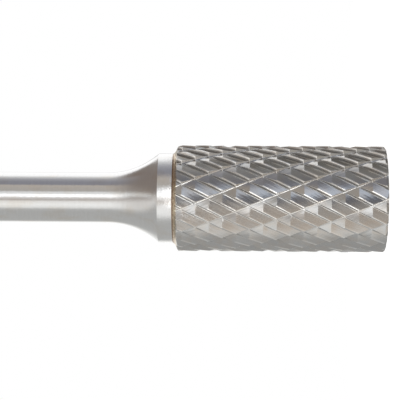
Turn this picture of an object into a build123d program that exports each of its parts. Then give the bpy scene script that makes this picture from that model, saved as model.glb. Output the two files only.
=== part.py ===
"""Cylindrical, flat-ended, double-cut carbide burr brazed to a steel shank.

The burr stands on its flat tip: origin at the centre of the tip face, +Z up the axis towards the shank, millimetres.
Three solids meet face to face: the toothed carbide head, the braze joint and the steel shank with its collar.
"""
from build123d import *
from math import asin, cos, degrees, pi, radians, sin, sqrt, tan
import os

# --- Carbide head -----------------------------------------------------------------------------------------------
head_d = 12.7               # over the cutting edges
head_len = 25.0
tip_chamfer = 0.2           # 45 degree break round the flat tip
back_chamfer_len = 0.33     # along the axis, where the teeth run out at the back
back_chamfer_width = 0.7    # across the radius

# --- Teeth: a right-hand cut of many flutes, crossed by a left-hand chip-breaking cut of half as many -----------
cut_flutes = 26
cut_helix = 27.8            # degrees from the axis
cut_depth = 0.34
cut_phase = 5.5             # degrees: where one cutting edge meets the plane of the tip

chip_flutes = 13
chip_helix = -23.7          # negative for left hand
chip_depth = 0.36
chip_phase = 22.6

rake_lean = 24.0            # degrees that the short wall under a cutting edge leans from the radius
relief = 15.2               # degrees that the long back of a flute falls below the circle
overrun = 0.3               # how far a grinding cut passes the surface and the ends that it trims

# --- Braze joint ------------------------------------------------------------------------------------------------
braze_gap = 0.13            # thickness of the solder between the two flat faces

# --- Steel shank ------------------------------------------------------------------------------------------------
overall_len = 70.0          # tip face to the free end of the shank
shank_d = 6.0
shank_end_chamfer = 0.5
collar_d = 10.7
collar_len = 1.9
collar_break = 0.2          # small chamfer at the joint, filled with solder
flare_radius = 9.6          # hollow sweep from the collar down to the shank, tangent to the shank

# --- Derived ----------------------------------------------------------------------------------------------------
head_r = head_d / 2
shank_r = shank_d / 2
collar_r = collar_d / 2
back_face_r = head_r - back_chamfer_width
collar_z = head_len + braze_gap
flare_z = collar_z + collar_len
flare_len = sqrt(flare_radius**2 - (flare_radius + shank_r - collar_r)**2)


def on_circle(arc, radius):
    """Point at a distance `arc` round the circle of the cutting edges, moved in or out to `radius`."""
    return Vector(radius, 0).rotate(Axis.Z, degrees(arc / head_r))


def ground_bar(flutes, depth, helix, phase):
    """Bar, wider than the head, with the straight-sided V flutes of one cut ground along a helix.

    Each flute is a triangle in front of its cutting edge: the gullet, the short wall up to that edge and the long
    back up to the land of the tooth before it. Both sides run straight on past the circle, as the wheel does.
    """
    wall = depth * tan(radians(rake_lean))
    back = depth / tan(radians(relief))
    gullet = on_circle(-wall, head_r - depth)
    reach = 1 + 2 * overrun / depth
    sides = [gullet + (corner - gullet) * reach for corner in (on_circle(0, head_r), on_circle(-wall - back, head_r))]
    flute = make_face(Polyline(gullet, *sides, close=True))

    turn = tan(radians(helix)) / head_r                       # radians per millimetre along the axis
    start = phase - degrees(turn * overrun)
    section = Circle(head_r + overrun) - PolarLocations(0, flutes, start_angle=start) * flute
    length = head_len + 2 * overrun
    bar = Solid.extrude_linear_with_rotation(
        section.face(), center=(0, 0, 0), normal=(0, 0, length), angle=degrees(turn * length))
    return Pos(0, 0, -overrun) * bar


def turned(*edges):
    """Solid of revolution about Z from the closed half section, drawn as (radius, height)."""
    return revolve(make_face(Plane.XZ * Wire(edges)), Axis.Z)


def carbide_head():
    """Chamfered blank with the two crossing cuts ground into it; its own cylinder is left as the lands."""
    blank = turned(*Polyline(
        (0, 0), (head_r - tip_chamfer, 0), (head_r, tip_chamfer), (head_r, head_len - back_chamfer_len),
        (back_face_r, head_len), (0, head_len), close=True).edges())
    cut = ground_bar(cut_flutes, cut_depth, cut_helix, cut_phase)
    chip = ground_bar(chip_flutes, chip_depth, chip_helix, chip_phase)
    return blank & cut & chip


def braze_joint():
    """Disc of solder between the head and the collar, its rim running up over the collar's broken edge."""
    return turned(*Polyline(
        (back_face_r, head_len), (collar_r, collar_z + collar_break), (collar_r - collar_break, collar_z),
        (0, collar_z), (0, head_len), close=True).edges())


def steel_shank():
    """Collar, hollow flare and straight shank, turned in one piece."""
    flare_end = flare_z + flare_len
    half_sweep = asin(flare_len / flare_radius) / 2
    flare_middle = (shank_r + flare_radius * (1 - cos(half_sweep)), flare_end - flare_radius * sin(half_sweep))
    return turned(
        *ThreePointArc((collar_r, flare_z), flare_middle, (shank_r, flare_end)).edges(),
        *Polyline(
            (shank_r, flare_end), (shank_r, overall_len - shank_end_chamfer),
            (shank_r - shank_end_chamfer, overall_len), (0, overall_len), (0, collar_z),
            (collar_r - collar_break, collar_z), (collar_r, collar_z + collar_break), (collar_r, flare_z)).edges())


os.makedirs("parts", exist_ok=True)
for build in (carbide_head, braze_joint, steel_shank):
    export_step(build(), f"parts/{build.__name__}.step")
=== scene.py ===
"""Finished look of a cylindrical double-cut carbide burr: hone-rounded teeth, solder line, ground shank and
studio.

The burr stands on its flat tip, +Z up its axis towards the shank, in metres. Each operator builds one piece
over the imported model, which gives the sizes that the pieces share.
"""
import math

import bmesh
import bpy
import numpy as np
from bpy.props import FloatProperty, FloatVectorProperty, IntProperty, PointerProperty
from mathutils import Matrix, Vector


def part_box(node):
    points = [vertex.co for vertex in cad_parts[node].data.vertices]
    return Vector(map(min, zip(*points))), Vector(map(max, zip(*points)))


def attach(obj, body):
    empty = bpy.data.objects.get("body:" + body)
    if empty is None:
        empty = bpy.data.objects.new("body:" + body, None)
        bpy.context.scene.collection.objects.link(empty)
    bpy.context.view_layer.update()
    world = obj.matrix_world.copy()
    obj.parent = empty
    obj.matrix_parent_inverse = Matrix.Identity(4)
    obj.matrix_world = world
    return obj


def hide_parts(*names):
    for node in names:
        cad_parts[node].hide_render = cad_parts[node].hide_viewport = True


bl_info = {
    "name": "Carbide Burr",
    "version": (1, 0, 0),
    "blender": (4, 5, 0),
    "location": "3D View > Sidebar > Burr",
    "description": "Builds a double-cut carbide burr with its solder line, shank and studio",
    "category": "Object",
}

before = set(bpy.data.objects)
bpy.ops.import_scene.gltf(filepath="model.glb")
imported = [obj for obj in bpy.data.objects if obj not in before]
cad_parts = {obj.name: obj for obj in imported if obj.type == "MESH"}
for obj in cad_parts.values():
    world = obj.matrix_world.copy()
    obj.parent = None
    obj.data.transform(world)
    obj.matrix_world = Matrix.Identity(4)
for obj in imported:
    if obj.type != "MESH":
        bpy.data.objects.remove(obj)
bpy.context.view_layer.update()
HEAD_LOW, HEAD_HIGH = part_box("carbide_head")
SOLDER_LOW, SOLDER_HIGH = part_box("braze_joint")
SHANK_LOW, SHANK_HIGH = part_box("steel_shank")
MM = 0.001


# --- Settings --------------------------------------------------------------------------------------------
def length(name, default_mm, description):
    return FloatProperty(name=name, description=description, default=default_mm * MM, min=0.0, unit="LENGTH",
                         precision=5)


def angle(name, degrees, description):
    return FloatProperty(name=name, description=description, default=math.radians(degrees), unit="ROTATION")


def colour(name, rgb, description):
    return FloatVectorProperty(name=name, description=description, default=rgb, size=3, min=0.0, max=1.0,
                               subtype="COLOR")


class BurrHeadSettings(bpy.types.PropertyGroup):
    cut_flutes: IntProperty(name="Cut flutes", description="Right-hand cutting flutes", default=26, min=3)
    cut_helix: angle("Cut helix", 27.8, "Angle of the cutting flutes from the axis")
    cut_phase: angle("Cut phase", 5.5, "Where one cutting edge meets the tip")
    cut_depth: length("Cut depth", 0.34, "Depth of the cutting flutes")
    chip_flutes: IntProperty(name="Chip flutes", description="Left-hand chip-breaking flutes", default=13,
                             min=3)
    chip_helix: angle("Chip helix", -23.7, "Angle of the chip flutes from the axis, negative for left hand")
    chip_phase: angle("Chip phase", 22.6, "Where one chip-breaking edge meets the tip")
    chip_depth: length("Chip depth", 0.36, "Depth of the chip flutes")
    rake_lean: angle("Rake lean", 24.0, "Lean of the short wall under an edge")
    relief: angle("Relief", 15.2, "Fall of the long back of a flute")
    crown: length("Crown", 0.022, "How far the long back stands above a flat from edge to gullet")
    hone: length("Hone", 0.024, "Half width of the rounding on every edge")
    gullet_round: length("Gullet round", 0.04, "Half width of the rounding in a gullet")
    tip_chamfer: length("Tip chamfer", 0.2, "Break round the flat tip")
    back_chamfer_len: length("Back chamfer length", 0.33, "Axial length of the run-out cone")
    back_chamfer_width: length("Back chamfer width", 0.7, "Radial width of the run-out cone")
    solder_film: length("Solder film", 0.16, "How far solder has crept up the run-out cone")
    metal: colour("Carbide", (0.54, 0.54, 0.535), "Ground carbide")
    solder: colour("Solder", (0.64, 0.52, 0.36), "Solder that has crept over the carbide")


class BurrSolderSettings(bpy.types.PropertyGroup):
    fillet_hollow: length("Fillet hollow", 0.05, "Hollow of the solder's free rim")
    metal: colour("Solder", (0.80, 0.67, 0.50), "Brass-coloured solder")
    oxide: colour("Scorched solder", (0.38, 0.28, 0.20), "Darker solder along the collar")


class BurrShankSettings(bpy.types.PropertyGroup):
    shank_d: length("Shank diameter", 6.0, "Ground shank")
    collar_len: length("Collar length", 1.9, "Straight collar behind the solder")
    collar_break: length("Collar break", 0.2, "Chamfer of the collar at the joint")
    flare_radius: length("Flare radius", 9.6, "Hollow sweep from collar to shank")
    end_chamfer: length("End chamfer", 0.5, "Chamfer of the free end")
    edge_round: length("Edge round", 0.05, "Rounding of the turned edges")
    metal: colour("Steel", (0.76, 0.76, 0.76), "Ground steel")


class BurrStageSettings(bpy.types.PropertyGroup):
    floor_radius: length("Floor radius", 60.0, "Radius of the pale floor")
    camera_distance: length("Camera distance", 183.55, "Camera to the burr's axis")
    camera_height: length("Camera height", 17.40, "Camera above the tip")
    camera_side: length("Camera side", 0.21, "Camera's small step to the side of the axis")
    aim_height: length("Aim height", 22.095, "Height on the axis at the picture's centre")
    roll: angle("Roll", 0.40, "Turn of the picture from a true quarter turn")
    camera_lens: FloatProperty(name="Lens", description="Focal length on a 36 mm sensor, in millimetres",
                               default=137.4, min=1.0)


# --- Shader maths ----------------------------------------------------------------------------------------
class Value:
    """A shader socket that takes part in Python arithmetic; numbers mix in freely."""

    def __init__(self, shader, socket):
        self.shader, self.socket = shader, socket

    def __add__(self, other):
        return self.shader.maths("ADD", self, other)

    __radd__ = __add__

    def __sub__(self, other):
        return self.shader.maths("SUBTRACT", self, other)

    def __rsub__(self, other):
        return self.shader.maths("SUBTRACT", other, self)

    def __mul__(self, other):
        return self.shader.maths("MULTIPLY", self, other)

    __rmul__ = __mul__

    def __abs__(self):
        return self.shader.maths("ABSOLUTE", self)

    def rises(self, low, high):
        """0 below `low`, 1 above `high`, smooth between."""
        return self.shader.node("ShaderNodeMapRange", {"interpolation_type": "SMOOTHSTEP"},
                                {"Value": self, "From Min": low, "From Max": high})

    def between(self, start, low, high, end):
        """1 from `low` to `high`, smoothly down to 0 at `start` and `end`."""
        return self.rises(start, low) * (1 - self.rises(high, end))


class Shader:
    """Nodes of one material or world, made by calls and linked by what they are given."""

    def __init__(self, owner):
        owner.use_nodes = True
        self.tree = owner.node_tree
        self.tree.nodes.clear()

    def node(self, kind, settings=None, inputs=None, output=0):
        """One node: settings or a ramp's stops first, then inputs by name or place; returns one output."""
        node = self.tree.nodes.new(kind)
        for key, setting in (settings or {}).items():
            if key == "stops":
                set_stops(node.color_ramp.elements, setting)
            else:
                setattr(node, key, setting)
        for key, given in (inputs or {}).items():
            socket = node.inputs[key]
            if isinstance(given, Value):
                self.tree.links.new(given.socket, socket)
            else:
                plain_colour = socket.type == "RGBA" and len(given) == 3
                socket.default_value = (*given, 1.0) if plain_colour else given
        return Value(self, node.outputs[output]) if node.outputs else None

    def maths(self, operation, *operands):
        return self.node("ShaderNodeMath", {"operation": operation}, dict(enumerate(operands)))

    def mix(self, factor, first, second):
        """Colour between two colours; 6 and 7 are the node's colour inputs, and 2 is its colour output."""
        return self.node("ShaderNodeMix", {"data_type": "RGBA"}, {0: factor, 6: first, 7: second}, output=2)

    def scale(self, colour, factor):
        """Colour made lighter or darker by a number."""
        return self.node("ShaderNodeVectorMath", {"operation": "SCALE"}, {0: colour, "Scale": factor})

    def vector(self, x, y, z):
        return self.node("ShaderNodeCombineXYZ", inputs={0: x, 1: y, 2: z})

    def split(self, vector):
        return [self.node("ShaderNodeSeparateXYZ", inputs={0: vector}, output=axis) for axis in range(3)]

    def noise(self, where, scale, detail=2.0, roughness=0.5):
        return self.node("ShaderNodeTexNoise", inputs={
            "Vector": where, "Scale": scale, "Detail": detail, "Roughness": roughness})

    def attribute(self, name):
        """A number stored on the mesh."""
        return self.node("ShaderNodeAttribute", {"attribute_name": name}, output="Fac")

    def place(self):
        """Object coordinates in millimetres, as three values."""
        return [axis * (1 / MM) for axis in self.split(self.node("ShaderNodeTexCoord", output="Object"))]

    def bump(self, height, strength, distance_mm, normal=None):
        inputs = {"Strength": strength, "Distance": distance_mm * MM, "Height": height}
        if normal is not None:
            inputs["Normal"] = normal
        return self.node("ShaderNodeBump", inputs=inputs)

    def finish(self, surface, output="ShaderNodeOutputMaterial"):
        self.node(output, inputs={"Surface": surface})


def set_stops(elements, stops):
    """Puts (position, colour) stops on a colour ramp, which starts with one element at each end."""
    for position, _ in stops[1:-1]:
        elements.new(position)
    for element, (position, rgb) in zip(elements, stops):
        element.position, element.color = position, (*rgb, 1.0)


def metal(shader, base, roughness, normal):
    """Polished, ground or soldered metal."""
    return shader.node("ShaderNodeBsdfPrincipled", inputs={
        "Base Color": base, "Metallic": 1.0, "Roughness": roughness, "Normal": normal})


def tinted(rgb, tint):
    return tuple(part * share for part, share in zip(rgb, tint))


# --- Materials -------------------------------------------------------------------------------------------
WARM_CARBIDE = (1.02, 0.98, 0.94)       # tints of the clouds and stains in each metal
DULL_SOLDER = (0.78, 0.74, 0.70)
STAINED_STEEL = (0.96, 0.93, 0.89)
PAINTED_HIGHLIGHT_GAIN = 0.90                       # how much lighter the painted highlight makes edges, lands and short walls
GULLET_SHADE = 0.65                     # how much darker the painted shade makes the bottom of a gullet

# In millimetres along the axis
FILM_END = 0.1                          # the solder's film is whole this far past the head's back
OXIDE_FROM, OXIDE_TO = 0.24, 0.30       # the solder darkens between these heights above the head
FILM_WAVER, OXIDE_WAVER = 0.3, 0.25     # how far both borders wander
SCUFF_FADE = 1.0                        # the collar's scuffs run out over this much of the flare
RINGS_BEFORE, RINGS_PAST = 1.5, 0.5     # the turned rings run out between these, about the flare's end


def twisted(shader, x, y, z, turn):
    """Cross coordinates unwound by `turn` radians a millimetre, so that what is drawn in them is a helix."""
    wound = z * turn
    cosine, sine = shader.maths("COSINE", wound), shader.maths("SINE", wound)
    return x * cosine + y * sine, y * cosine - x * sine


def wheel_marks(shader, x, y, z, helix):
    """Fine scratches and broad waves that the grinding wheel leaves along one family of flutes."""
    across, beside = twisted(shader, x, y, z, math.tan(helix) / (HEAD_HIGH.x / MM))
    # the axis counts for little, which draws the marks out along the helix
    fine = shader.noise(shader.vector(across, beside, z * 0.08), scale=14.0, detail=3.0, roughness=0.65)
    broad = shader.noise(shader.vector(across, beside, z * 0.15), scale=3.0)
    return fine, broad


def carbide_material(settings):
    """Ground carbide: wheel marks along each cut, tone clouded by tooth, painted highlight and gullet shade.
    """
    material = bpy.data.materials.new("ground_carbide")
    shader = Shader(material)
    x, y, z = shader.place()
    cut_fine, cut_broad = wheel_marks(shader, x, y, z, settings.cut_helix)
    chip_fine, chip_broad = wheel_marks(shader, x, y, z, settings.chip_helix)
    chip, tone = shader.attribute("chip_cut"), shader.attribute("tooth_tone")
    honed, deep = shader.attribute("honed"), shader.attribute("deep")
    fine = cut_fine * (1 - chip) + chip_fine * chip
    broad = cut_broad * (1 - chip) + chip_broad * chip
    grain = shader.noise(shader.vector(x, y, z), scale=9.0, detail=4.0, roughness=0.7)
    cloud = shader.noise(shader.vector(x, y, z), scale=0.9)
    creep = shader.noise(shader.vector(x, y, z * 0.5), scale=1.8, detail=3.0)

    base = shader.mix(cloud.rises(0.35, 0.65), tuple(settings.metal), tinted(settings.metal, WARM_CARBIDE))
    film_low, head_top = (HEAD_HIGH.z - settings.solder_film) / MM, HEAD_HIGH.z / MM
    film = (z + creep * FILM_WAVER).rises(film_low, head_top + FILM_END)
    base = shader.mix(film, base, tuple(settings.solder))
    ground = 0.84 + 0.10 * fine + 0.10 * broad + 0.10 * grain + 0.06 * tone
    # painted highlight lightens edges, lands and short walls; painted shade darkens the gullets
    base = shader.scale(base, (ground + PAINTED_HIGHLIGHT_GAIN * honed) * (1 - GULLET_SHADE * deep))

    roughness = 0.10 + 0.08 * broad + 0.08 * grain + 0.2 * deep
    normal = shader.bump(fine * 0.6 + grain * 0.4, strength=0.4, distance_mm=0.006)
    normal = shader.bump(broad, strength=0.5, distance_mm=0.032, normal=normal)
    shader.finish(metal(shader, base, roughness, normal))
    return material


def solder_material(settings):
    """Brass-coloured solder: uneven tone, scorched along the collar, satin."""
    material = bpy.data.materials.new("braze_alloy")
    shader = Shader(material)
    x, y, z = shader.place()
    flow = shader.noise(shader.vector(x, y, z * 2.0), scale=2.4, detail=3.0, roughness=0.6)
    pits = shader.noise(shader.vector(x, y, z), scale=6.0, detail=3.0, roughness=0.6)
    base = shader.mix(flow.rises(0.3, 0.7), tuple(settings.metal), tinted(settings.metal, DULL_SOLDER))
    head_top = HEAD_HIGH.z / MM
    oxide = (z + OXIDE_WAVER * flow).rises(head_top + OXIDE_FROM, head_top + OXIDE_TO)
    base = shader.mix(oxide, base, tuple(settings.oxide))
    normal = shader.bump(pits, strength=0.8, distance_mm=0.03)
    shader.finish(metal(shader, base, 0.16 + 0.2 * pits, normal))
    return material


def steel_material(settings):
    """Ground and turned steel: fine rings round the axis, deeper on flare and collar, faint stains."""
    material = bpy.data.materials.new("ground_steel")
    shader = Shader(material)
    x, y, z = shader.place()
    flare_low = (SHANK_LOW.z + settings.collar_len) / MM
    flare_end = flare_low + flare_length(settings) / MM
    turned = 1 - z.rises(flare_end - RINGS_BEFORE, flare_end + RINGS_PAST)
    collar = 1 - z.rises(flare_low, flare_low + SCUFF_FADE)
    # noise that hardly changes across the axis shows as rings round it
    rings = shader.noise(shader.vector(x * 0.05, y * 0.05, z), scale=11.0, detail=3.0, roughness=0.7)
    fine = shader.noise(shader.vector(x * 0.4, y * 0.4, z * 2.0), scale=30.0, roughness=0.6)
    stain = shader.noise(shader.vector(x, y, z * 0.5), scale=0.7, detail=3.0)
    scuff = shader.noise(shader.vector(x, y, z), scale=4.5, detail=4.0, roughness=0.7)
    dimples = shader.noise(shader.vector(x, y, z), scale=4.0)

    base = shader.mix(stain.rises(0.45, 0.75), tuple(settings.metal), tinted(settings.metal, STAINED_STEEL))
    base = shader.scale(base, 0.86 + 0.14 * rings + 0.04 * stain + 0.04 * fine)
    roughness = 0.05 + 0.05 * turned + 0.04 * scuff + 0.03 * fine
    normal = shader.bump(fine, strength=0.2, distance_mm=0.004)
    normal = shader.bump(rings * (0.2 + turned), strength=0.5, distance_mm=0.014, normal=normal)
    normal = shader.bump(scuff * collar, strength=0.7, distance_mm=0.018, normal=normal)
    normal = shader.bump(dimples, strength=0.6, distance_mm=0.009, normal=normal)
    shader.finish(metal(shader, base, roughness, normal))
    return material


# --- Meshes ----------------------------------------------------------------------------------------------
def new_piece(name, mesh, material, node):
    """Adds a finished mesh as the piece that stands for one node of the model, in its material slot."""
    mesh.materials.append(material)
    piece = bpy.data.objects.new(name, mesh)
    bpy.context.scene.collection.objects.link(piece)
    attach(piece, "root")
    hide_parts(node)
    return piece


def soft_min(first, second, width):
    """Smaller of two arrays, rounded where they lie within `width` of each other."""
    near = np.maximum(width - np.abs(first - second), 0.0)
    dip = np.divide(near**2, 4 * width, out=np.zeros_like(near), where=width > 0)
    return np.minimum(first, second) - dip


# Fineness of the lattice
LAND_STEPS = {"cut": 2, "chip": 4}      # strips across the land behind an edge
BACK_STEPS, WALL_STEPS = 8, 5           # strips along a cutting flute's back and up its short wall
EDGE_STRIPS = np.array((0.0, 0.6, 1.5))     # strips across an edge's rounding, in hones from the edge
LAST_STRIP = 0.3                        # narrowest strip left before a gullet, as a share of a back's strip
CORNER_STEP = 0.01                      # step in from a strip's corner, as a share of the pitch
END_MARGIN = 0.3 * MM                   # lattice past each end, which is cut off again
FACE_REACH = 2.2 * MM                   # no face of the lattice reaches further than this along the axis
TIP_RINGS, BACK_RINGS = 5, 10           # level cuts through the chamfers of the two ends

# Form and shade of the flutes
STEEP = 1.0                             # slope that the short walls pass and the long backs don't
CROWN_SPAN = 1.25 * MM                  # the crown is the same curve in both cuts, so that they meet level
CHIP_WALL_HONE = 1.7                    # hone along a chip-breaking wall against the hone elsewhere
CHIP_EDGE_SHINE, CUT_EDGE_SHINE = 1.6, 0.6  # how much highlight is painted where the cuts cross, on the hone's rounding
CHIP_WALL_SHINE, CUT_WALL_SHINE = 1.0, 0.6  # and at least on their short walls
LAND_SHINE = 0.35                       # and on the lands
SHADE_REACH = 0.09 * MM                 # how far a gullet's painted shade reaches up the back
WALL_SHADE, WALL_FADE = 3.2, 4.5        # painted shade on the wall: whole up to half its height, gone at 0.7 of it
TONE_SEED, TONES = 7, 4096              # tones that the teeth's faces take by their numbers
TOOTH_STRIDES = (97, 31)                # number that a tooth gains by each step round either family

# Tolerances and sharp edges
ON_PLANE, ON_LEVEL, SAME_PLACE = 1e-8, 1e-7, 0.0005 * MM
HEAD_SHARP, LATHE_SHARP = math.radians(40), math.radians(30)
LATHE_SEGMENTS, FLARE_STEPS, RIM_STEPS, ROUND_STEPS = 192, 32, 8, 4
SIDE_SHARE = 0.45                       # an arc takes at most this share of the sides that it joins


class Flutes:
    """One family of helical V flutes, unrolled: arcs run round the circle of the edges from one edge."""

    def __init__(self, radius, count, depth, helix, phase, settings):
        self.radius, self.count, self.depth, self.phase = radius, count, depth, phase
        self.turn = math.tan(helix) / radius
        self.pitch = 2 * math.pi * radius / count
        self.wall = depth * math.tan(settings.rake_lean)
        self.back = depth / math.tan(settings.relief)
        self.land = self.pitch - self.wall - self.back
        self.gullet = self.land + self.back
        drop = self.back / radius
        bottom = radius - depth
        self.lean = math.atan((radius - bottom * math.cos(drop)) / (bottom * math.sin(drop)))
        self.gullet_round, self.crown = settings.gullet_round, settings.crown

    def arcs(self, land_steps, back_step, hone):
        """Arc positions that cut one pitch into strips, fine where the section bends."""
        edge = EDGE_STRIPS * hone
        back = self.land + back_step * np.arange(BACK_STEPS + 1)
        parts = [edge, np.linspace(edge[-1], self.land, land_steps + 1)[1:-1],
                 back[back < self.gullet - LAST_STRIP * back_step],
                 np.linspace(self.gullet, self.pitch, WALL_STEPS + 1)]
        return np.concatenate(parts)[:-1]

    def rise(self, arc):
        """Height of the flute's sides over the circle and on past it, their slope and their painted gullet
        shade.
        """
        arc = np.mod(arc, self.pitch)
        steep = self.depth / self.wall
        along = arc - self.land
        back = self.radius * (math.cos(self.lean) / np.cos(self.lean - along / self.radius) - 1)
        back += np.where(along > 0, 4 * self.crown * along * (CROWN_SPAN - along) / CROWN_SPAN**2, 0)
        front = (arc - self.pitch) * steep
        valley = -soft_min(-back, -front, np.full_like(arc, self.gullet_round * steep))
        behind = arc * steep
        height = np.minimum(valley, behind)
        slope = np.where((front > back) | (behind < valley), steep, self.depth / self.back)
        # painted shade: from the gullet up the back, and over the lower part of the short wall
        down_back = 1 - (self.gullet - arc) / SHADE_REACH
        up_wall = WALL_SHADE - WALL_FADE * (arc - self.gullet) / self.wall
        return height, slope, np.clip(np.minimum(down_back, up_wall), 0, 1)


def tooth_surface(cut, chip, hone, cut_arc, chip_arc):
    """Height over the circle where both families are ground: the lower of the two, crossings rounded by the
    hone.

    The other results say how much highlight is painted on, 1 on a land or an edge and 0 on an open face, and
    how much shade is painted on in a gullet, from 0 to 1.
    """
    cut_rise, cut_slope, cut_painted_shade = cut.rise(cut_arc)
    chip_rise, chip_slope, chip_painted_shade = chip.rise(chip_arc)
    steepest, chip_wall = np.maximum(cut_slope, chip_slope), chip_slope > STEEP
    width = hone * steepest * np.where(chip_wall, CHIP_WALL_HONE, 1.0)
    ground = soft_min(cut_rise, chip_rise, width)
    inside = ground < 0
    slope = np.where(cut_rise < chip_rise, cut_slope, chip_slope)

    crossing = (1 - np.abs(cut_rise - chip_rise) / width) * (steepest > STEEP)
    land = 1 + np.minimum(ground, 0) / (hone * slope)
    edge_shine = np.where(chip_wall, CHIP_EDGE_SHINE, CUT_EDGE_SHINE)
    wall_shine = np.where(chip_wall, CHIP_WALL_SHINE, CUT_WALL_SHINE)
    # painted highlight: on the hone where the cuts cross, on the lands, and at least this much on short
    # walls
    honed = np.clip(np.maximum(edge_shine * crossing, LAND_SHINE * land), 0, 1)
    honed = np.where((slope > STEEP) & inside, np.maximum(honed, wall_shine), honed)
    # painted shade in the gullets, but none on a chip-breaking wall
    deep = np.where(cut_rise < chip_rise, cut_painted_shade, chip_painted_shade * ~chip_wall) * inside
    return soft_min(ground, np.zeros_like(ground), hone * slope), honed, deep


def lattice_triangles(i, j, columns, rows, turn_rows, up, keep):
    """Two triangles for each kept square of the lattice, which is split up its diagonal or across it.

    The column after the last is the first one again, one whole turn, or `turn_rows` rows, on.
    """
    def index(column, row):
        wraps = column >= columns
        return np.where(wraps, 0, column) * rows + np.where(wraps, row - turn_rows, row)

    a, b = index(i, j), index(i + 1, j)
    c, d = index(i + 1, j + 1), index(i, j + 1)
    up = up[..., None]
    one = np.where(up, np.stack([a, b, c], -1), np.stack([a, b, d], -1))
    two = np.where(up, np.stack([a, c, d], -1), np.stack([b, c, d], -1))
    return np.concatenate([one[keep], two[keep]])


def tooth_lattice(cut, chip, low, high, hone):
    """Triangles of the fluted cylinder on a lattice along both helices, from z = low to high and a bit more.

    Returns vertices, how much highlight and gullet shade is painted on each, triangles, and for each
    triangle whether the chip cut made it and the number of its tooth.
    """
    radius, back_step = cut.radius, cut.back / BACK_STEPS
    cut_arcs = cut.arcs(LAND_STEPS["cut"], back_step, hone)
    chip_arcs = chip.arcs(LAND_STEPS["chip"], back_step, hone)
    shift = radius * (cut.phase - chip.phase)
    pace = radius * (cut.turn - chip.turn)                   # chip arc less cut arc, per unit of height
    bottom, top = low - END_MARGIN, high + END_MARGIN
    first = math.floor((bottom * pace + shift) / chip.pitch) - 1
    last = math.ceil((top * pace + shift + 2 * math.pi * radius) / chip.pitch) + 1

    u = (np.arange(cut.count)[:, None] * cut.pitch + cut_arcs).ravel()
    v = (np.arange(first, last)[:, None] * chip.pitch + chip_arcs).ravel()
    columns, rows = len(u), len(v)
    u_grid, v_grid = np.meshgrid(u, v, indexing="ij")
    z = (v_grid - u_grid - shift) / pace
    theta = cut.phase + cut.turn * z + u_grid / radius
    height, honed, deep = tooth_surface(cut, chip, hone, u_grid, v_grid)
    r = radius + height
    points = np.stack([r * np.cos(theta), r * np.sin(theta), z], axis=-1).reshape(-1, 3)

    i, j = np.meshgrid(np.arange(columns), np.arange(rows - 1), indexing="ij")
    turn_rows = chip.count * len(chip_arcs)
    real = (i + 1 < columns) | (j >= turn_rows)     # the last column's neighbour starts a whole turn on
    reach = cut.pitch / pace
    lowest = np.minimum(z[:, :-1], z[:, 1:]) - reach
    highest = np.maximum(z[:, :-1], z[:, 1:]) + reach
    keep = real & (highest > bottom) & (lowest < top)

    # a crease between two backs or two walls runs up the lattice's diagonal, any other across it
    cut_wall = i % len(cut_arcs) >= len(cut_arcs) - WALL_STEPS
    chip_wall = j % len(chip_arcs) >= len(chip_arcs) - WALL_STEPS
    triangles = lattice_triangles(i, j, columns, rows, turn_rows, cut_wall == chip_wall, keep)

    # which cut made a face is asked just inside its first corner
    cut_ground = cut.rise((u[i] + cut.pitch * CORNER_STEP)[keep])[0]
    chip_ground = chip.rise((v[j] + chip.pitch * CORNER_STEP)[keep])[0]
    by_chip = (chip_ground < cut_ground).astype(float)
    tooth = (i // len(cut_arcs) * TOOTH_STRIDES[0] + j // len(chip_arcs) * TOOTH_STRIDES[1])[keep]
    return points, honed.ravel(), deep.ravel(), triangles, np.tile(by_chip, 2), np.tile(tooth, 2)


def burr_mesh(settings):
    """The toothed head: lattice cut level at both ends, chamfered there and closed by flat faces."""
    low, high, radius = HEAD_LOW.z, HEAD_HIGH.z, HEAD_HIGH.x
    cut = Flutes(radius, settings.cut_flutes, settings.cut_depth, settings.cut_helix, settings.cut_phase,
                 settings)
    chip = Flutes(radius, settings.chip_flutes, settings.chip_depth, settings.chip_helix,
                  settings.chip_phase, settings)
    points, honed, deep, triangles, by_chip, tooth = tooth_lattice(cut, chip, low, high, settings.hone)
    used, triangles = np.unique(triangles, return_inverse=True)
    mesh = bpy.data.meshes.new("burr_head")
    mesh.from_pydata(points[used].tolist(), [], triangles.reshape(-1, 3).tolist())
    tones = np.random.default_rng(TONE_SEED).uniform(-1.0, 1.0, TONES)[tooth % TONES]
    # the painted highlight and the painted gullet shade go to the mesh for the material
    for name, domain, values in (("chip_cut", "FACE", by_chip), ("tooth_tone", "FACE", tones),
                                 ("honed", "POINT", honed[used]), ("deep", "POINT", deep[used])):
        mesh.attributes.new(name, "FLOAT", domain).data.foreach_set("value", values.astype(np.float32))

    work = bmesh.new()
    work.from_mesh(mesh)
    tip_top, back_low = low + settings.tip_chamfer, high - settings.back_chamfer_len
    for level in (*np.linspace(low, tip_top, TIP_RINGS), *np.linspace(back_low, high, BACK_RINGS)):
        cut_level(work, level)
    outside = [face for face in work.faces if not low < face.calc_center_median().z < high]
    bmesh.ops.delete(work, geom=outside, context="FACES")
    bmesh.ops.remove_doubles(work, verts=work.verts, dist=SAME_PLACE)
    chamfer_ends(work, radius, tip_top, back_low, settings.back_chamfer_width / settings.back_chamfer_len)
    for level in (low, high):
        close_end(work, level)
    work.normal_update()
    mark_creases(work)
    work.to_mesh(mesh)
    work.free()
    return mesh


def height_of(element):
    """Height of a vertex, or of the first vertex of an edge or face."""
    return element.co.z if isinstance(element, bmesh.types.BMVert) else element.verts[0].co.z


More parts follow.
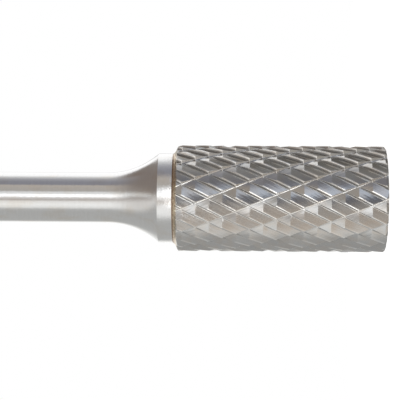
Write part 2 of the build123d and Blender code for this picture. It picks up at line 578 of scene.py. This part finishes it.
def cut_level(work, level):
    """Cuts the faces near a level along it."""
    near = [element for element in (*work.verts, *work.edges, *work.faces)
            if abs(height_of(element) - level) < FACE_REACH]
    bmesh.ops.bisect_plane(work, geom=near, dist=ON_PLANE, plane_co=(0, 0, level), plane_no=(0, 0, 1))


def chamfer_ends(work, radius, tip_top, back_low, back_slope):
    """Draws the teeth in to a 45 degree cone below `tip_top` and to the run-out cone above `back_low`."""
    for vertex in work.verts:
        x, y, z = vertex.co
        r = math.hypot(x, y)
        limit = min(radius - (tip_top - z) if z < tip_top else r,
                    radius - (z - back_low) * back_slope if z > back_low else r)
        if limit < r:
            vertex.co = (x * limit / r, y * limit / r, z)


def close_end(work, level):
    """Closes the open rim at a level by a fan of triangles round the axis."""
    rim = [edge for edge in work.edges
           if edge.is_boundary and all(abs(vertex.co.z - level) < ON_LEVEL for vertex in edge.verts)]
    centre = work.verts.new((0.0, 0.0, level))
    for edge in rim:
        loop = edge.link_loops[0]
        work.faces.new((centre, loop.link_loop_next.vert, loop.vert))


def mark_creases(work):
    """Leaves an edge smooth only inside one cut, where its two faces meet at a small angle."""
    chipped = work.faces.layers.float["chip_cut"]
    for edge in work.edges:
        faces = edge.link_faces
        one_cut = len(faces) == 2 and abs(faces[0][chipped] - faces[1][chipped]) < 0.5
        edge.smooth = one_cut and edge.calc_face_angle() < HEAD_SHARP


def rounded(corners, radius):
    """Half section through `corners` as (radius, height), each inner corner rounded by an arc."""
    points = [Vector(corners[0])]
    for before, corner, after in zip(corners, corners[1:], corners[2:]):
        before, corner, after = Vector(before), Vector(corner), Vector(after)
        back, on = (before - corner).normalized(), (after - corner).normalized()
        half = back.angle(on) / 2
        reach = min(radius / math.tan(half), SIDE_SHARE * (before - corner).length,
                    SIDE_SHARE * (after - corner).length)
        centre = corner + (back + on).normalized() * (reach / math.cos(half))
        start, end = corner + back * reach - centre, corner + on * reach - centre
        sweep = start.angle_signed(end)
        for step in range(ROUND_STEPS + 1):
            points.append(centre + Matrix.Rotation(-sweep * step / ROUND_STEPS, 2) @ start)
    points.append(Vector(corners[-1]))
    return points


def lathe(name, section):
    """Closed solid of revolution from a half section that starts and ends on the axis."""
    mesh = bpy.data.meshes.new(name)
    work = bmesh.new()
    angles = [2 * math.pi * step / LATHE_SEGMENTS for step in range(LATHE_SEGMENTS)]
    rings = [[work.verts.new((r * math.cos(turn), r * math.sin(turn), z)) for turn in angles]
             for r, z in section[1:-1]]
    for lower, upper in zip(rings, rings[1:]):
        for k in range(LATHE_SEGMENTS):
            n = (k + 1) % LATHE_SEGMENTS
            work.faces.new((lower[k], lower[n], upper[n], upper[k]))
    for ring, (_, z) in ((rings[0], section[0]), (rings[-1], section[-1])):
        centre = work.verts.new((0, 0, z))
        for k in range(LATHE_SEGMENTS):
            work.faces.new((centre, ring[k], ring[(k + 1) % LATHE_SEGMENTS]))
    bmesh.ops.recalc_face_normals(work, faces=work.faces)
    work.to_mesh(mesh)
    work.free()
    mesh.shade_smooth()
    mesh.set_sharp_from_angle(angle=LATHE_SHARP)
    return mesh


def solder_section(hollow, collar_break):
    """Half section of the solder: a hollow rim from the head's back face up to the collar's full radius."""
    low, high, foot, top = SOLDER_LOW.z, SOLDER_HIGH.z, SOLDER_HIGH.x, SHANK_HIGH.x
    rim = []
    for step in range(RIM_STEPS + 1):
        t = step / RIM_STEPS
        across = foot + (top - foot) * t - hollow * math.sin(math.pi * t)
        rim.append(Vector((across, low + (high - low) * t)))
    inner_top = high - collar_break
    return [Vector((0, low)), *rim, Vector((top - collar_break, inner_top)), Vector((0, inner_top))]


def flare_length(settings):
    """Axial length of the hollow sweep, which meets the shank tangent."""
    drop = settings.flare_radius + settings.shank_d / 2 - SHANK_HIGH.x
    return math.sqrt(settings.flare_radius**2 - drop**2)


def shank_section(settings):
    """Half section of the collar, the hollow flare, the shank and its chamfered end."""
    collar_r, shank_r = SHANK_HIGH.x, settings.shank_d / 2
    low, high = SHANK_LOW.z, SHANK_HIGH.z
    flare_low = low + settings.collar_len
    flare_high = flare_low + flare_length(settings)
    sweep = math.asin(flare_length(settings) / settings.flare_radius)
    flare = []
    for step in range(1, FLARE_STEPS + 1):
        turn = sweep * (1 - step / FLARE_STEPS)
        flare.append(Vector((shank_r + settings.flare_radius * (1 - math.cos(turn)),
                             flare_high - settings.flare_radius * math.sin(turn))))
    collar = rounded([
        (0, low), (collar_r - settings.collar_break, low), (collar_r, low + settings.collar_break),
        (collar_r, flare_low), flare[0]], settings.edge_round)
    end = rounded([
        (shank_r, flare_high), (shank_r, high - settings.end_chamfer),
        (shank_r - settings.end_chamfer, high), (0, high)], 3 * settings.edge_round)
    return [*collar, *flare[1:], *end[1:]]


# --- Stage -----------------------------------------------------------------------------------------------
FLOOR_SEGMENTS = 128
FLOOR_GREY = (0.75, 0.75, 0.75)
FLOOR_LIFT = 0.8                        # light added where the floor is seen, so that it shows white
SENSOR_WIDTH = 36.0                     # millimetres
CLIP_START = 0.01                       # metres
WHITE = (1.0, 1.0, 1.0)


def add_floor(settings):
    """Pale round floor that shows white to the camera and keeps the burr's shadow."""
    mesh = bpy.data.meshes.new("floor")
    work = bmesh.new()
    bmesh.ops.create_circle(work, cap_ends=True, segments=FLOOR_SEGMENTS, radius=settings.floor_radius)
    work.to_mesh(mesh)
    work.free()
    floor = bpy.data.objects.new("floor", mesh)
    bpy.context.scene.collection.objects.link(floor)
    material = bpy.data.materials.new("floor_white")
    shader = Shader(material)
    seen = shader.node("ShaderNodeLightPath", output="Is Camera Ray")
    mirrored = shader.node("ShaderNodeLightPath", output="Is Glossy Ray")
    diffuse = shader.node("ShaderNodeBsdfDiffuse", inputs={"Color": FLOOR_GREY})
    lift = shader.node("ShaderNodeEmission", inputs={"Color": WHITE, "Strength": seen * FLOOR_LIFT})
    plain = shader.node("ShaderNodeAddShader", inputs={0: diffuse, 1: lift})
    clear = shader.node("ShaderNodeBsdfTransparent")
    shader.finish(shader.node("ShaderNodeMixShader", inputs={0: mirrored, 1: plain, 2: clear}))
    mesh.materials.append(material)


# Studio as the burr sees it: bearings round its axis from the camera's side, in degrees, and the colour
# there, for low walls (below the tip's level), for walls level with the burr and for high walls
LOW_WALLS = (
    (-180, (0.60, 0.60, 0.60)), (-130, (0.50, 0.50, 0.50)), (-80, (0.53, 0.53, 0.52)),
    (-67, (0.58, 0.58, 0.57)), (-58, (0.78, 0.77, 0.74)), (-50, (0.98, 0.94, 0.89)),
    (-42, (0.86, 0.79, 0.72)), (-30, (0.69, 0.62, 0.55)), (-10, (0.60, 0.54, 0.48)),
    (8, (0.53, 0.485, 0.44)), (18, (0.44, 0.415, 0.39)), (27, (0.19, 0.19, 0.21)),
    (36, (0.20, 0.21, 0.25)), (42, (0.88, 0.95, 1.08)), (50, (0.80, 0.86, 0.98)),
    (61, (0.38, 0.40, 0.47)), (66, (0.23, 0.23, 0.26)), (85, (0.30, 0.295, 0.29)),
    (100, (0.27, 0.26, 0.245)), (112, (0.20, 0.19, 0.175)), (140, (0.13, 0.12, 0.11)),
    (180, (0.50, 0.50, 0.50)))
LEVEL_WALLS = (
    (-180, (1.20, 1.20, 1.20)), (-154, (1.00, 1.00, 0.98)), (-137, (0.52, 0.52, 0.51)),
    (-70, (0.51, 0.51, 0.50)), (-57, (0.57, 0.57, 0.56)), (-47, (0.98, 0.98, 0.96)),
    (-34, (1.13, 1.13, 1.11)), (-19, (0.98, 0.96, 0.93)), (-12, (0.56, 0.52, 0.49)),
    (-3, (0.80, 0.77, 0.75)), (1, (1.00, 1.00, 1.00)), (24, (0.90, 0.90, 0.90)),
    (29, (0.50, 0.475, 0.445)), (56, (0.56, 0.51, 0.46)), (61, (0.30, 0.30, 0.335)),
    (76, (0.31, 0.31, 0.345)), (90, (0.42, 0.42, 0.45)), (101, (0.64, 0.64, 0.65)),
    (113, (1.06, 1.06, 1.06)), (120, (1.30, 1.30, 1.30)), (160, (1.30, 1.30, 1.30)),
    (172, (0.50, 0.50, 0.50)), (180, (0.50, 0.50, 0.50)))
HIGH_WALLS = (
    (-180, (0.60, 0.60, 0.59)), (-150, (0.58, 0.58, 0.57)), (-125, (0.50, 0.50, 0.49)),
    (-76, (0.49, 0.49, 0.48)), (-62, (0.62, 0.61, 0.59)), (-50, (0.82, 0.80, 0.77)),
    (-20, (0.80, 0.77, 0.74)), (-6, (0.52, 0.48, 0.45)), (3, (0.42, 0.39, 0.36)),
    (9, (0.86, 0.85, 0.84)), (17, (0.84, 0.83, 0.81)), (23, (0.48, 0.45, 0.42)),
    (32, (0.34, 0.30, 0.27)), (60, (0.27, 0.23, 0.205)), (112, (0.26, 0.22, 0.20)),
    (140, (0.30, 0.27, 0.25)), (152, (1.00, 1.00, 1.00)), (166, (1.00, 1.00, 1.00)),
    (174, (0.45, 0.45, 0.45)), (180, (0.45, 0.45, 0.45)))

# Lights in front of the walls: start, low, high and end of each in bearing and in height, and its brightness
LIGHTS = (
    ((0, 3, 13, 16), (-9, -6, 16, 42), 1.5),
    ((-1, 2, 23, 26), (-8, -6, -2, 0), 3.0),
    ((-23, -21, -10, -8), (-9.5, -8, -3, -1.5), 3.0))
BENCH, BENCH_TOP = (0.30, 0.285, 0.265), (-42, -26)     # plain tone far below, and the heights where it ends
CEILING, CEILING_EDGE = (1.4, 1.4, 1.4), (84, 90)       # light straight above

# Borders between the walls, in degrees; each pair is where a soft change starts and ends
LEVEL_FROM = (-13, -5)                      # heights where the low walls give way to the level ones,
LEVEL_LIFT, LIFT_AT = 5.5, (96, 112)        # so much higher past these bearings
HIGH_SLOW, HIGH_QUICK = (8, 50), (8, 26)    # heights where the high walls take over,
QUICK_AT = (85, 105)                        # quickly past these bearings
FAR_WIDE, FAR_TALL = 75, 29                 # half sizes of an oval on the far side that stays level
FAR_SOFT = (0.75, 1.25)                     # soft border of the oval, against its size
FAR_TALLER_AT = (-10, 10)                   # bearings past which the oval is twice as tall


def wall_colours(shader, bearing, stops):
    """Colour ramp round the burr from stops given in degrees."""
    stops = [((degrees + 180) / 360, rgb) for degrees, rgb in stops]
    return shader.node("ShaderNodeValToRGB", {"stops": stops}, {0: (bearing + 180) * (1 / 360)})


def light_world(scene):
    """Studio drawn in the world: lights before walls of differing tone, and plain white to the camera."""
    world = bpy.data.worlds.new("studio")
    scene.world = world
    shader = Shader(world)
    x, y, z = shader.split(shader.node("ShaderNodeTexCoord", output="Generated"))
    bearing = shader.maths("ARCTAN2", x, y * -1.0) * (180 / math.pi)
    height = shader.maths("ARCTAN2", z, shader.maths("SQRT", x * x + y * y)) * (180 / math.pi)
    low, level, high = [wall_colours(shader, bearing, stops)
                        for stops in (LOW_WALLS, LEVEL_WALLS, HIGH_WALLS)]

    light = shader.mix((height - LEVEL_LIFT * bearing.rises(*LIFT_AT)).rises(*LEVEL_FROM), low, level)
    beyond = (180 - abs(bearing)) * (1 / FAR_WIDE)
    beside = height * (2 - bearing.rises(*FAR_TALLER_AT)) * (1 / FAR_TALL)
    outside_oval = (beyond * beyond + beside * beside).rises(*FAR_SOFT)
    slow, quick = height.rises(*HIGH_SLOW), height.rises(*HIGH_QUICK)
    above = (slow + (quick - slow) * bearing.rises(*QUICK_AT)) * outside_oval
    light = shader.mix(above, light, high)
    for bearings, heights, brightness in LIGHTS:
        lit = bearing.between(*bearings) * height.between(*heights)
        light = shader.mix(lit, light, (brightness,) * 3)
    light = shader.mix(height.rises(*BENCH_TOP), BENCH, light)
    light = shader.mix(height.rises(*CEILING_EDGE), light, CEILING)
    light = shader.mix(shader.node("ShaderNodeLightPath", output="Is Camera Ray"), light, WHITE)
    shader.finish(shader.node("ShaderNodeBackground", inputs={"Color": light, "Strength": 1.0}),
                  "ShaderNodeOutputWorld")


def add_camera(scene, settings):
    """Camera at the height of the head, rolled a quarter turn so that the burr lies across the picture."""
    data = bpy.data.cameras.new("camera")
    data.sensor_width, data.lens, data.clip_start = SENSOR_WIDTH, settings.camera_lens, CLIP_START
    camera = bpy.data.objects.new("camera", data)
    scene.collection.objects.link(camera)
    place = Vector((-settings.camera_side, -settings.camera_distance, settings.camera_height))
    forward = (Vector((-settings.camera_side, 0.0, settings.aim_height)) - place).normalized()
    up = Matrix.Rotation(-settings.roll, 3, forward) @ Vector((1.0, 0.0, 0.0))
    axes = Matrix((forward.cross(up), up, -forward)).transposed()
    camera.matrix_world = Matrix.Translation(place) @ axes.to_4x4()
    scene.camera = camera


# --- Operators -------------------------------------------------------------------------------------------
class BURR_OT_head(bpy.types.Operator):
    """Build the toothed carbide head"""
    bl_idname = "burr.head"
    bl_label = "Carbide Head"

    def execute(self, context):
        settings = context.scene.burr_head
        new_piece("burr_head", burr_mesh(settings), carbide_material(settings),
                  "carbide_head")
        return {"FINISHED"}


class BURR_OT_solder(bpy.types.Operator):
    """Build the solder line between head and shank"""
    bl_idname = "burr.solder"
    bl_label = "Solder Line"

    def execute(self, context):
        settings = context.scene.burr_solder
        section = solder_section(settings.fillet_hollow, context.scene.burr_shank.collar_break)
        new_piece("solder_line", lathe("solder_line", section), solder_material(settings),
                  "braze_joint")
        return {"FINISHED"}


class BURR_OT_shank(bpy.types.Operator):
    """Build the turned collar, hollow flare and ground shank"""
    bl_idname = "burr.shank"
    bl_label = "Steel Shank"

    def execute(self, context):
        settings = context.scene.burr_shank
        mesh = lathe("steel_shank_turned", shank_section(settings))
        new_piece("steel_shank_turned", mesh, steel_material(settings), "steel_shank")
        return {"FINISHED"}


class BURR_OT_stage(bpy.types.Operator):
    """Lay the pale floor, light the studio and aim the camera"""
    bl_idname = "burr.stage"
    bl_label = "Studio"

    def execute(self, context):
        settings = context.scene.burr_stage
        add_floor(settings)
        light_world(context.scene)
        add_camera(context.scene, settings)
        context.scene.view_settings.view_transform = "Standard"
        return {"FINISHED"}


class BURR_PT_panel(bpy.types.Panel):
    """Buttons and sizes of the burr"""
    bl_idname = "BURR_PT_panel"
    bl_label = "Carbide Burr"
    bl_space_type = "VIEW_3D"
    bl_region_type = "UI"
    bl_category = "Burr"

    def draw(self, context):
        for operator, group in PIECES:
            column = self.layout.column()
            column.operator(operator)
            for name in getattr(context.scene, group).bl_rna.properties.keys():
                if name not in ("rna_type", "name"):
                    column.prop(getattr(context.scene, group), name)


PIECES = (("burr.head", "burr_head"), ("burr.solder", "burr_solder"), ("burr.shank", "burr_shank"),
          ("burr.stage", "burr_stage"))
GROUPS = (BurrHeadSettings, BurrSolderSettings, BurrShankSettings, BurrStageSettings)
CLASSES = (*GROUPS, BURR_OT_head, BURR_OT_solder, BURR_OT_shank, BURR_OT_stage, BURR_PT_panel)


def register():
    for cls in CLASSES:
        bpy.utils.register_class(cls)
    for (_, name), group in zip(PIECES, GROUPS):
        setattr(bpy.types.Scene, name, PointerProperty(type=group))


def unregister():
    for _, name in PIECES:
        delattr(bpy.types.Scene, name)
    for cls in reversed(CLASSES):
        bpy.utils.unregister_class(cls)


def main():
    register()
    bpy.ops.burr.head()
    bpy.ops.burr.solder()
    bpy.ops.burr.shank()
    bpy.ops.burr.stage()


if __name__ == "__main__":
    main()
